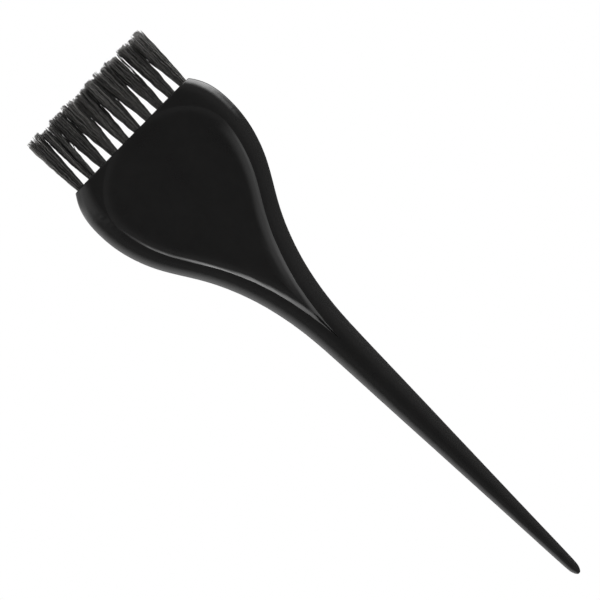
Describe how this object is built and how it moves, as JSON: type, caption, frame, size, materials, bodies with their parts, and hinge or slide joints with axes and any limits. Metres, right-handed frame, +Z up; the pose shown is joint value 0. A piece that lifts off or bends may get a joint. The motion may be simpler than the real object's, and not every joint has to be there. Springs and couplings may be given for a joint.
{
  "type": "tint brush",
  "caption": "Hair tint brush: a flat flared head holding one row of bristle tufts, with scooped faces and an oval handle that tapers to a rat tail.",
  "frame": {"origin": "under the middle of the bounding box, on the plane that the brush lies on", "axes": "+X across the head, +Y along the brush towards the bristle tips, +Z up out of the head's face"},
  "size_m": [0.0606, 0.225, 0.0072],
  "materials": {
    "handle": "glossy black moulded plastic",
    "bristle": "dark nylon filament, slightly sheened",
    "anchor": "plain galvanised strip"
  },
  "bodies": {
    "root": {"handle_body": "handle", "tuft_01": "bristle", "tuft_02": "bristle", "tuft_03": "bristle", "tuft_04": "bristle", "tuft_05": "bristle", "tuft_06": "bristle", "tuft_07": "bristle", "tuft_08": "bristle", "tuft_09": "bristle", "tuft_10": "bristle", "anchor_01": "anchor", "anchor_02": "anchor", "anchor_03": "anchor", "anchor_04": "anchor", "anchor_05": "anchor", "anchor_06": "anchor", "anchor_07": "anchor", "anchor_08": "anchor", "anchor_09": "anchor", "anchor_10": "anchor"}
  },
  "joints": []
}
